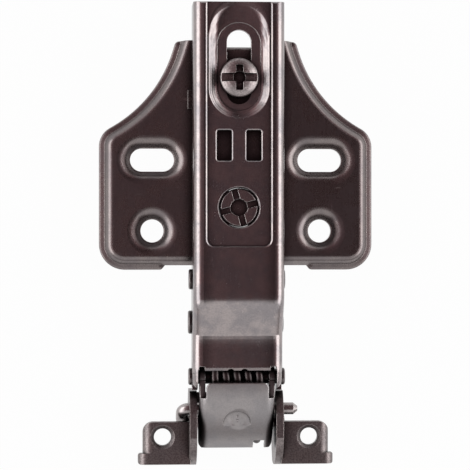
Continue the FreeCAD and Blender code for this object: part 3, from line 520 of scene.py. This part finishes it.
    def flank_shade(self, board: NodeBoard, coordinate: Socket) -> Value:
        """Paint shade in two stripes along the flanks of faces that look up, by the distance from the middle.

        Args:
            board: Nodes of the material.
            coordinate: Object coordinates, in metres.

        Returns:
            The share of the painted shade's colour, from 0 to 1.
        """
        if self.flank is None:
            return 0.0
        inner, outer = self.flank
        deepest, soft_mm = 0.55, 0.2
        aside = board.math("MULTIPLY", board.math("ABSOLUTE", board.part(coordinate, "X")), PER_METRE)
        upward = board.part(board.add("ShaderNodeNewGeometry").outputs["Normal"], "Z")
        # Painted shade: only on faces that look up, in stripes along the flanks.
        dark = board.math(
            "MULTIPLY", board.ramp(aside, inner, outer, end=deepest), board.ramp(upward, low=0.93, high=0.97),
        )
        return board.math("MULTIPLY", dark, board.ramp(aside, outer - soft_mm, outer, start=1.0, end=0.0))

    def painted_shade(self, board: NodeBoard) -> Socket:
        """Find how much painted shade darkens a place: most in recesses, slots and gaps, and beside tall parts.

        Args:
            board: Nodes of the material.

        Returns:
            The painted shade, from 0 to 1.
        """
        # Painted shade: the colour darkens where nearby parts hide the sky.
        sky = board.add("ShaderNodeAmbientOcclusion", {"Distance": PAINTED_SHADE_REACH * MM}, samples=8)
        hidden = board.ramp(sky.outputs["AO"], low=0.42, high=0.94, start=1.0, end=0.0)
        return board.math("MULTIPLY", hidden, self.painted_shade_strength)

    @staticmethod
    def slope(board: NodeBoard, coordinate: Socket, press: Press) -> Socket:
        """Work out a pressed slope by the distance in plan from its line, root (along squared + x squared).

        Args:
            board: Nodes of the material.
            coordinate: Object coordinates, in metres.
            press: The slope.

        Returns:
            The height, in millimetres.
        """
        spot = board.place(coordinate, PLAN_SCALE, spot=(press.x * MM, 0.0, 0.0))
        x, y = board.part(spot, "X"), board.part(spot, "Y")
        past_back = board.math("SUBTRACT", y, press.back)
        past_front = board.math("SUBTRACT", press.front, y)
        along = board.math("MAXIMUM", board.math("MAXIMUM", past_back, past_front), 0.0)
        square = board.math("MULTIPLY_ADD", along, along, board.math("MULTIPLY", x, x))
        away = board.math("SQRT", square)
        return board.math("MULTIPLY", board.ramp(away, press.inner, press.outer), press.rise)


def darker(colour: Colour, share: float) -> Colour:
    """Return a share of a colour."""
    return tuple(share * light for light in colour)


PLATED = NickelFinish(
    name="black_nickel_sheet", roughness=0.20, edge_mm=0.16, dust=0.35, flank=(4.0, 6.7),
    film=(0.360, 0.316, 0.312), stain=(0.272, 0.248, 0.255), wear_and_highlight_colour=(0.60, 0.55, 0.54),
    nicks=(
        Nick(4.4, -18.9, turn_deg=48.0, long=1.6, wide=0.16, depth=1.0),
        Nick(2.5, -15.6, turn_deg=-42.0, long=1.4, wide=0.14, depth=0.5),
        Nick(7.3, -2.6, turn_deg=78.0, long=1.4, wide=0.2, depth=0.9),
        Nick(-5.2, -5.4, turn_deg=-50.0, long=0.9, wide=0.3, depth=0.4),
    ),
    presses=(Press(0.0, front=26.4, back=38.0, inner=3.7, outer=5.5, rise=0.42),),
)
PLATE = NickelFinish(
    name="black_nickel_plate", roughness=0.26, edge_mm=0.20, dust=0.25,
    film=(0.226, 0.194, 0.190), stain=(0.191, 0.165, 0.167), wear_and_highlight_colour=(0.46, 0.41, 0.40),
    nicks=(
        Nick(-8.8, 25.0, turn_deg=90.0, long=3.2, wide=0.9, depth=1.0),
        Nick(-18.4, 7.0, turn_deg=-70.0, long=1.3, wide=0.12, depth=0.4),
        Nick(19.4, 8.2, turn_deg=-8.0, long=1.7, wide=0.14, depth=0.5),
    ),
)
LINK = NickelFinish(
    name="grey_nickel_link", roughness=0.34, edge_mm=0.28, dust=0.2, grain=1.2,
    film=(0.325, 0.302, 0.302), stain=(0.290, 0.275, 0.280), wear_and_highlight_colour=(0.62, 0.58, 0.57),
    presses=(
        Press(0.35, front=-35.6, back=-35.6, inner=1.2, outer=2.3, rise=0.22),
        Press(0.15, front=-34.95, back=-34.95, inner=0.06, outer=0.26, rise=0.16),
        Press(0.1, front=-35.8, back=-35.8, inner=0.06, outer=0.26, rise=0.16),
    ),
)
BRACKET = NickelFinish(
    name="dull_nickel_bracket", roughness=0.36, edge_mm=0.18, dust=0.3, grain=1.4, tone=0.6,
    film=(0.248, 0.214, 0.210), stain=(0.215, 0.188, 0.188), wear_and_highlight_colour=(0.44, 0.39, 0.38),
)
SCREW = NickelFinish(
    name="semi_bright_screw", roughness=0.28, edge_mm=0.10, dust=0.3, grain=1.6, stain_scale=0.5, painted_shade_strength=0.97,
    tone=0.5, film=(0.345, 0.300, 0.296), stain=(0.290, 0.255, 0.254), wear_and_highlight_colour=(0.62, 0.56, 0.55),
)
PIN = NickelFinish(
    name="nickel_pin", roughness=0.32, edge_mm=0.10, dust=0.3, stain_scale=0.5,
    film=(0.225, 0.195, 0.193), stain=(0.190, 0.168, 0.168), wear_and_highlight_colour=(0.55, 0.50, 0.49),
)
WIRE = NickelFinish(
    name="bright_bent_wire", roughness=0.26, edge_mm=0.08, dust=0.3, stain_scale=0.5, painted_shade_strength=0.35,
    film=(0.450, 0.410, 0.405), stain=(0.390, 0.355, 0.352), wear_and_highlight_colour=(0.66, 0.61, 0.60),
)
SPRING = NickelFinish(
    name="wound_spring_wire", roughness=0.28, edge_mm=0.06, dust=0.2, stain_scale=0.5,
    film=(0.120, 0.100, 0.100), stain=(0.095, 0.082, 0.082), wear_and_highlight_colour=(0.40, 0.36, 0.35),
)

NODE_FINISHES: dict[str, NickelFinish] = {
    "mounting_plate": PLATE,
    "hinge_arm": PLATED,
    "fixing_screw": SCREW,
    "adjusting_screw": PLATED,
    "front_axis_pin": PIN,
    "link_axis_pin": PIN,
    "rear_cross_pin": PIN,
    "outer_link": LINK,
    "inner_link": LINK,
    "torsion_spring": SPRING,
    "door_bracket": BRACKET,
    "u_pin": WIRE,
}


def tube(path: np.ndarray, radius: float, sides: int, cap_rings: int) -> tuple[np.ndarray, np.ndarray]:
    """Sweep a circle along a path, with round ends.

    A ring's points are path + r (cos a * n + sin a * b), where n = tangent x X, of length one, and
    b = tangent x n. No part of the path may run along X. The end rings shrink as r cos t while they move
    out by r sin t, down to a last ring that is all but a point.

    Args:
        path: Points of the centre line, in metres.
        radius: Radius of the wire, in metres.
        sides: Points of a ring.
        cap_rings: Rings of one round end.

    Returns:
        Vertices, and faces as rows of four vertex numbers.
    """
    tangent = np.gradient(path, axis=0)
    tangent /= np.linalg.norm(tangent, axis=1)[:, None]
    normals = np.cross(tangent, (1.0, 0.0, 0.0))
    normals /= np.linalg.norm(normals, axis=1)[:, None]
    lift = np.linspace(0, math.pi / 2, cap_rings + 1)[1:]
    start = path[0] - tangent[0] * (radius * np.sin(lift[::-1]))[:, None]
    end = path[-1] + tangent[-1] * (radius * np.sin(lift))[:, None]
    line = np.vstack([start, path, end])
    last_ring = 1e-3
    grow = np.concatenate([np.cos(lift[::-1]), np.ones(len(path)), np.cos(lift)]).clip(last_ring) * radius
    across, run = (
        np.vstack([np.repeat(rows[:1], cap_rings, 0), rows, np.repeat(rows[-1:], cap_rings, 0)])
        for rows in (normals, tangent)
    )
    up = np.cross(run, across)
    angle = np.linspace(0, 2 * math.pi, sides, endpoint=False)
    ring = across[:, None] * np.cos(angle)[None, :, None] + up[:, None] * np.sin(angle)[None, :, None]
    points = line[:, None] + ring * grow[:, None, None]
    return points.reshape(-1, 3), ring_quads(len(line), sides)


def ring_quads(rings: int, sides: int) -> np.ndarray:
    """Join neighbouring rings by quads: point k of a ring, point k + 1, and the same two of the next ring.

    Args:
        rings: Number of rings.
        sides: Points of a ring.

    Returns:
        Faces as rows of four vertex numbers.
    """
    index = np.arange(rings * sides).reshape(rings, sides)
    right = np.roll(index, -1, axis=1)
    return np.stack([index[:-1], right[:-1], right[1:], index[1:]], axis=-1).reshape(-1, 4)


def make_piece(name: str, points: np.ndarray, quads: np.ndarray, finish: bpy.types.Material) -> bpy.types.Object:
    """Make a smooth closed piece from arrays.

    Args:
        name: Name of the piece.
        points: Vertices, in metres.
        quads: Faces as rows of four vertex numbers.
        finish: Material of the piece.

    Returns:
        The new object, at the origin.
    """
    mesh = bpy.data.meshes.new(name)
    mesh.from_pydata(points.tolist(), [], quads.tolist())
    mesh.polygons.foreach_set("use_smooth", np.ones(len(mesh.polygons), bool))
    mesh.materials.append(finish)
    mesh.update()
    piece = bpy.data.objects.new(name, mesh)
    bpy.context.scene.collection.objects.link(piece)
    LOG.info("%s: %d faces", name, len(mesh.polygons))
    return piece


@dataclass
class WoundSpring:
    """Torsion spring round the front axle, in millimetres.

    It has a tail under the arm's roof, four turns, and a leg that follows the inside of the link's crown.
    """

    axle_y: float
    axle_z: float
    coil_rad: float = 2.45
    wire: float = 1.7
    half_wide: float = 4.2
    turns: int = 4
    tail_long: float = 6.6
    crown_y: float = -25.8
    crown_z: float = -11.2
    leg_rad: float = 16.77
    leg_end_y: float = -40.15
    tail_steps: int = 12
    turn_steps: int = 48
    leg_steps: int = 40
    sides: int = 20
    cap_rings: int = 4

    @classmethod
    def round_joint(cls, joints: list[dict], name: str) -> WoundSpring:
        """Return the spring whose coil lies round a joint of the frame."""
        _, y, z = next(joint["pos_m"] for joint in joints if joint["name"] == name)
        return cls(axle_y=y / MM, axle_z=z / MM)

    def centre_line(self) -> np.ndarray:
        """Work out the wire's centre line.

        The tail is straight along Y at the coil's top. The coil is x = x0 + pitch t / 2 pi,
        y = y0 - r sin t, z = z0 + r cos t. The leg is an arc about the crown's centre.

        Returns:
            Points of the line, in metres.
        """
        top = self.axle_z + self.coil_rad
        back = np.linspace(self.tail_long, 0, self.tail_steps, endpoint=False)
        tail = np.stack([
            np.full_like(back, -self.half_wide),
            self.axle_y + back,
            np.full_like(back, top),
        ], axis=1)
        turn = np.linspace(0, 2 * math.pi * self.turns, self.turn_steps * self.turns + 1)
        coil = np.stack([
            -self.half_wide + 2 * self.half_wide * turn / turn[-1],
            self.axle_y - self.coil_rad * np.sin(turn),
            self.axle_z + self.coil_rad * np.cos(turn),
        ], axis=1)
        first = math.atan2(top - self.crown_z, self.axle_y - self.crown_y)
        last = math.acos((self.leg_end_y - self.crown_y) / self.leg_rad)
        arc = np.linspace(first, last, self.leg_steps)[1:]
        leg = np.stack([
            np.full_like(arc, self.half_wide),
            self.crown_y + self.leg_rad * np.cos(arc),
            self.crown_z + self.leg_rad * np.sin(arc),
        ], axis=1)
        return np.vstack([tail, coil, leg]) * MM

    def build(self, finish: bpy.types.Material) -> bpy.types.Object:
        """Make the spring, which twists between the arm and the outer link.

        Args:
            finish: Material of the wire.

        Returns:
            The spring.
        """
        points, quads = tube(self.centre_line(), self.wire / 2 * MM, self.sides, self.cap_rings)
        spring = make_piece("wound_spring", points, quads, finish)
        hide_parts("torsion_spring")
        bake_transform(spring)
        return spring


@dataclass(frozen=True)
class Card:
    """A flat upright or level card that only shows in gloss, in metres.

    Its light is graded along one axis. Each stop is a place on that axis and the grade there, and the
    places rise.
    """

    name: str
    low: Point
    high: Point
    light: Colour
    axis: Axis
    stops: tuple[tuple[float, float], ...]


@dataclass(frozen=True)
class Softbox:
    """A softbox over one side: its angle from straight up to the right, and its face, where 1 is white."""

    name: str
    tilt_deg: float
    radiance: float


DARK_CARD = Card(
    name="dark_card_above", low=(-0.32, -0.172, 0.30), high=(0.34, 0.90, 0.30),
    light=(0.117, 0.075, 0.079), axis=Axis.ACROSS,
    stops=((-0.31, 5.8), (-0.11, 1.66), (0.01, 1.64), (0.065, 0.45), (0.13, 1.0), (0.33, 5.2)),
)
GREY_CARD = Card(
    name="grey_card_in_front", low=(-0.25, -0.12, -0.0075), high=(0.25, -0.12, 0.036),
    light=(0.80, 0.76, 0.76), axis=Axis.UP, stops=((-0.0075, 0.38), (0.036, 0.85)),
)
SOFTBOXES = (Softbox("left_softbox", -64.0, 2.05), Softbox("right_softbox", 64.0, 1.95))


@dataclass
class Studio:
    """Plain photographic set, in metres: camera above, white ground, softboxes and cards."""

    lowest: float
    eye: Point = (-0.0210, -0.00077, 0.350)
    aim: Point = (-0.0001, -0.00077, 0.0)
    view_wide: float = 0.09004
    sensor_mm: float = 36.0
    nearest: float = 0.01
    farthest: float = 10.0
    fill: float = 0.3
    ground_gap: float = 0.0002
    ground_reach: float = 3.0
    ground_grey: float = 0.9
    ground_seen: float = 0.97
    ground_mirrored: float = 0.95
    lamp_away: float = 0.45
    lamp_size: tuple[float, float] = (0.31, 0.62)

    def camera(self) -> None:
        """Set the camera at the photograph's angle, with +Y up in the picture."""
        data = bpy.data.cameras.new("photo_camera")
        camera = bpy.data.objects.new("photo_camera", data)
        bpy.context.scene.collection.objects.link(camera)
        aside, height = self.aim[0] - self.eye[0], self.eye[2] - self.aim[2]
        camera.location = self.eye
        camera.rotation_euler = (0.0, -math.atan2(aside, height), 0.0)
        data.sensor_width = self.sensor_mm
        data.lens = self.sensor_mm * math.hypot(aside, height) / self.view_wide
        data.clip_start, data.clip_end = self.nearest, self.farthest
        bpy.context.scene.camera = camera

    def world(self) -> None:
        """Make the surroundings white where they are seen or reflected, and a low even fill for the rest."""
        world = bpy.data.worlds.new("white_tent")
        bpy.context.scene.world = world
        world.use_nodes = True
        board = NodeBoard(world.node_tree)
        path = board.add("ShaderNodeLightPath").outputs
        seen = board.math("MAXIMUM", path["Is Camera Ray"], path["Is Glossy Ray"])
        seen = board.math("MAXIMUM", seen, path["Is Transmission Ray"])
        dim, white = (
            board.add("ShaderNodeBackground", {"Color": WHITE, "Strength": strength})
            for strength in (self.fill, 1.0)
        )
        mixed = board.add("ShaderNodeMixShader", {0: seen, 1: dim.outputs[0], 2: white.outputs[0]})
        board.add("ShaderNodeOutputWorld", {"Surface": mixed.outputs[0]})

    def ground(self) -> None:
        """Lay a white ground just under the hinge: it keeps a faint shadow and is clear from below."""
        material = bpy.data.materials.new("white_ground")
        material.use_nodes = True
        board = NodeBoard(material.node_tree)
        path = board.add("ShaderNodeLightPath").outputs
        mirrored = board.math("MULTIPLY", path["Is Glossy Ray"], self.ground_mirrored)
        other = board.math("MAXIMUM", mirrored, path["Is Transmission Ray"])
        share = board.math("MAXIMUM", board.math("MULTIPLY", path["Is Camera Ray"], self.ground_seen), other)
        matt = board.add("ShaderNodeBsdfDiffuse", {"Color": (*darker(WHITE[:3], self.ground_grey), 1.0)})
        white = board.add("ShaderNodeEmission", {"Color": WHITE, "Strength": 1.0})
        mixed = board.add("ShaderNodeMixShader", {0: share, 1: matt.outputs[0], 2: white.outputs[0]})
        clear = board.add("ShaderNodeBsdfTransparent")
        back = board.add("ShaderNodeNewGeometry").outputs["Backfacing"]
        shown = board.add("ShaderNodeMixShader", {0: back, 1: mixed.outputs[0], 2: clear.outputs[0]})
        board.add("ShaderNodeOutputMaterial", {"Surface": shown.outputs[0]})
        reach, level = self.ground_reach, self.lowest - self.ground_gap
        self.flat_piece("white_ground", (-reach, -reach, level), (reach, reach, level), material)

    def hang_card(self, card: Card) -> None:
        """Hang a card.

        Args:
            card: Its size, place and light.
        """
        material = bpy.data.materials.new(card.name)
        material.use_nodes = True
        board = NodeBoard(material.node_tree)
        along = board.part(board.add("ShaderNodeTexCoord").outputs["Object"], card.axis.value)
        grade = card.stops[0][1]
        for (low, before), (high, after) in zip(card.stops[:-1], card.stops[1:]):
            grade = board.math("ADD", grade, board.ramp(along, low, high, end=after - before))
        glow = board.add("ShaderNodeEmission", {"Color": (*card.light, 1.0), "Strength": grade})
        board.add("ShaderNodeOutputMaterial", {"Surface": glow.outputs[0]})
        piece = self.flat_piece(card.name, card.low, card.high, material)
        piece.visible_camera = piece.visible_diffuse = piece.visible_shadow = False
        piece.visible_transmission = False

    @staticmethod
    def flat_piece(name: str, low: Point, high: Point, material: bpy.types.Material) -> bpy.types.Object:
        """Make one flat four-cornered piece of the set.

        Args:
            name: Name of the piece.
            low: Its lowest corner.
            high: Its highest corner, at the same Y or the same Z as the lowest.
            material: Its material.

        Returns:
            The piece.
        """
        mesh = bpy.data.meshes.new(name)
        corners = [low, (high[0], low[1], low[2]), high, (low[0], high[1], high[2])]
        mesh.from_pydata(corners, [], [(0, 1, 2, 3)])
        mesh.materials.append(material)
        piece = bpy.data.objects.new(name, mesh)
        bpy.context.scene.collection.objects.link(piece)
        piece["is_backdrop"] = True
        return piece

    def hang_softbox(self, box: Softbox) -> None:
        """Hang a softbox that faces the middle of the set.

        Args:
            box: Its name, angle and brightness.
        """
        data = bpy.data.lights.new(box.name, "AREA")
        data.shape = "RECTANGLE"
        wide, long = self.lamp_size
        data.size, data.size_y = wide, long
        data.energy = box.radiance * math.pi * wide * long
        lamp = bpy.data.objects.new(box.name, data)
        tilt = math.radians(box.tilt_deg)
        lamp.location = (self.lamp_away * math.sin(tilt), 0.0, self.lamp_away * math.cos(tilt))
        lamp.rotation_euler = (0.0, tilt, 0.0)
        lamp.visible_camera = False
        bpy.context.scene.collection.objects.link(lamp)

    def build(self) -> None:
        """Set up the whole studio."""
        self.camera()
        self.world()
        self.ground()
        for card in (DARK_CARD, GREY_CARD):
            self.hang_card(card)
        for box in SOFTBOXES:
            self.hang_softbox(box)


def dress_nodes(nodes: dict[str, bpy.types.Object]) -> dict[NickelFinish, bpy.types.Material]:
    """Give every CAD node its finish.

    Args:
        nodes: CAD nodes by name.

    Returns:
        The material made for each finish.
    """
    materials = {finish: finish.material() for finish in dict.fromkeys(NODE_FINISHES.values())}
    for name, node in nodes.items():
        for slot in node.material_slots:
            slot.material = materials[NODE_FINISHES[name]]
        LOG.info("%s: %s", name, NODE_FINISHES[name].name)
    return materials


def corners_of_everything() -> list[list[float]]:
    """Return the lowest and highest corner of what is shown."""
    bpy.context.view_layer.update()
    return [list(corner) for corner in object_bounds()]


def main() -> None:
    """Dress the hinge and set up the studio."""
    logging.basicConfig(level=logging.INFO, format="%(name)s: %(message)s")
    bpy.context.scene.view_settings.view_transform = "Standard"
    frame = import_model()
    frame_box = corners_of_everything()
    lowest_corner = frame_box[0]
    Studio(lowest=lowest_corner[2]).build()
    materials = dress_nodes(frame["nodes"])
    WoundSpring.round_joint(frame["joints"], "link_swing").build(materials[SPRING])
    {"frame": frame_box, "visual": corners_of_everything()}


if __name__ == "__main__":
    main()
